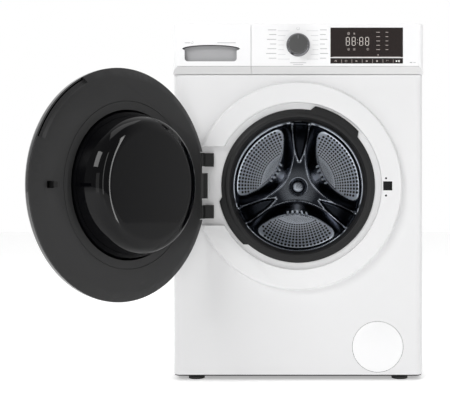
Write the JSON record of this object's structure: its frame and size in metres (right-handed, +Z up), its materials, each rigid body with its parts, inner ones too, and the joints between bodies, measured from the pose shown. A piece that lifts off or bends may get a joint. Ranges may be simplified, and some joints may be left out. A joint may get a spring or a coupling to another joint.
{
  "type": "front load washing machine",
  "caption": "Free-standing front load washing machine with a round swing-out door, suspended tub and spinning drum, detergent drawer, dial, push keys and pump filter.",
  "frame": {"origin": "on the floor, at the centre of the rectangle of the four feet", "axes": "+Z up, +Y towards the back where the hoses connect, the front and its door face -Y, +X to the viewer's right"},
  "size_m": [0.8215, 1.0227, 0.85],
  "materials": {
    "white_paint": "satin white powder coat",
    "white_board": "white laminated board",
    "white_plastic": "satin white moulding",
    "grey_plastic": "satin mid grey",
    "knob_grey": "satin dark grey",
    "dark_chrome": "polished dark chrome",
    "black_pane": "glossy black-brown",
    "black_gloss": "glossy black",
    "dark_plastic": "fine-grained dark grey",
    "smoked_glass": "polished dark glass",
    "black_metal": "satin black",
    "steel": "bright zinc",
    "stainless": "polished stainless steel",
    "galvanised": "galvanised sheet",
    "cast_alloy": "die-cast",
    "concrete": "cast concrete",
    "tub_plastic": "light grey filled plastic",
    "gasket_rubber": "satin dark grey rubber",
    "black_rubber": "matt black rubber",
    "board_green": "solder mask",
    "drawer_inner": "light grey moulding"
  },
  "bodies": {
    "cabinet": {"cabinet_shell": "white_paint", "worktop": "white_board", "front_panel": "white_paint", "base_tray": "dark_plastic", "feet": "black_rubber", "rear_panel": "galvanised", "service_cover": "galvanised", "cabinet_screws": "steel", "control_fascia": "white_plastic", "display_window": "black_pane", "control_board": "board_green", "dispenser_housing": "drawer_inner", "inlet_valve": "drawer_inner", "hinge_bracket": "black_metal", "hinge_pin": "black_metal", "door_lock": "black_gloss", "door_gasket": "gasket_rubber", "suspension_springs": "steel", "damper_tubes": "grey_plastic", "drain_pump": "grey_plastic", "sump_hose": "black_rubber", "drain_outlet": "grey_plastic", "mains_gland": "black_gloss"},
    "tub": {"tub_front": "tub_plastic", "tub_rear": "tub_plastic", "front_counterweight": "concrete", "top_counterweight": "concrete", "motor": "cast_alloy", "heater": "steel", "drum_bearings": "steel", "shaft_seal": "black_rubber", "drive_belt": "black_rubber", "damper_rods": "steel", "gasket_clamp": "steel"},
    "drum": {"drum_shell": "stainless", "drum_back": "stainless", "lifters": "grey_plastic", "drum_spider": "cast_alloy", "drum_shaft": "steel", "drum_pulley": "cast_alloy"},
    "motor_rotor": {"motor_pulley": "steel"},
    "door": {"door_inner_ring": "dark_plastic", "door_cover": "black_gloss", "door_glass": "smoked_glass", "door_hinge_plate": "dark_plastic"},
    "door_catch": {"door_hook": "steel"},
    "drawer": {"drawer_front": "white_plastic", "drawer_tray": "drawer_inner", "siphon_cap": "grey_plastic"},
    "knob": {"knob_skirt": "dark_chrome", "knob_cap": "knob_grey"},
    "pump_cover": {"filter_cover": "white_plastic"},
    "pump_strainer": {"pump_filter": "grey_plastic"},
    "push_1": {"key_1": "black_pane"},
    "push_2": {"key_2": "black_pane"},
    "push_3": {"key_3": "black_pane"},
    "push_4": {"key_4": "black_pane"},
    "push_5": {"key_5": "black_pane"},
    "push_6": {"key_6": "black_pane"},
    "push_7": {"key_7": "black_pane"}
  },
  "joints": [
    {"name": "door_swing", "type": "hinge", "parent": "cabinet", "child": "door", "pos_m": [-0.2296, -0.322, 0.465], "axis": [0, 0, 1], "range_deg": [0, 125.7]},
    {"name": "door_hook_pivot", "type": "hinge", "parent": "door", "child": "door_catch", "pos_m": [-0.48281, -0.67952, 0.465], "axis": [0, 0, 1], "range_deg": [-5, 5], "stiffness_Nm_per_rad": 0.3},
    {"name": "tub_bounce", "type": "slide", "parent": "cabinet", "child": "tub", "axis": [0, 0, 1], "range_m": [-0.01, 0.01], "stiffness_N_per_m": 40000, "springref_m": 0.01077, "deforming": ["suspension_springs", "sump_hose", "door_gasket"]},
    {"name": "drum_spin", "type": "hinge", "parent": "tub", "child": "drum", "pos_m": [0, 0, 0.465], "axis": [0, 1, 0], "continuous": true},
    {"name": "motor_spin", "type": "hinge", "parent": "tub", "child": "motor_rotor", "pos_m": [0.1, 0, 0.112], "axis": [0, 1, 0], "continuous": true},
    {"name": "drawer_slide", "type": "slide", "parent": "cabinet", "child": "drawer", "axis": [0, -1, 0], "range_m": [0, 0.19]},
    {"name": "knob_turn", "type": "hinge", "parent": "cabinet", "child": "knob", "pos_m": [0, -0.308, 0.8], "axis": [0, -1, 0], "continuous": true},
    {"name": "filter_cover_pull", "type": "slide", "parent": "cabinet", "child": "pump_cover", "axis": [0, -1, 0], "range_m": [0, 0.03]},
    {"name": "filter_turn", "type": "hinge", "parent": "cabinet", "child": "pump_strainer", "pos_m": [0.191, -0.277, 0.079], "axis": [0, -1, 0], "range_deg": [0, 90]},
    {"name": "key_1_press", "type": "slide", "parent": "cabinet", "child": "push_1", "axis": [0, 1, 0], "range_m": [0, 0.001], "stiffness_N_per_m": 900, "springref_m": -0.0005},
    {"name": "key_2_press", "type": "slide", "parent": "cabinet", "child": "push_2", "axis": [0, 1, 0], "range_m": [0, 0.001], "stiffness_N_per_m": 900, "springref_m": -0.0005},
    {"name": "key_3_press", "type": "slide", "parent": "cabinet", "child": "push_3", "axis": [0, 1, 0], "range_m": [0, 0.001], "stiffness_N_per_m": 900, "springref_m": -0.0005},
    {"name": "key_4_press", "type": "slide", "parent": "cabinet", "child": "push_4", "axis": [0, 1, 0], "range_m": [0, 0.001], "stiffness_N_per_m": 900, "springref_m": -0.0005},
    {"name": "key_5_press", "type": "slide", "parent": "cabinet", "child": "push_5", "axis": [0, 1, 0], "range_m": [0, 0.001], "stiffness_N_per_m": 900, "springref_m": -0.0005},
    {"name": "key_6_press", "type": "slide", "parent": "cabinet", "child": "push_6", "axis": [0, 1, 0], "range_m": [0, 0.001], "stiffness_N_per_m": 900, "springref_m": -0.0005},
    {"name": "key_7_press", "type": "slide", "parent": "cabinet", "child": "push_7", "axis": [0, 1, 0], "range_m": [0, 0.001], "stiffness_N_per_m": 900, "springref_m": -0.0005}
  ],
  "couplings": [
    {"joint": "motor_spin", "follows": "drum_spin", "ratio": 12.727}
  ]
}
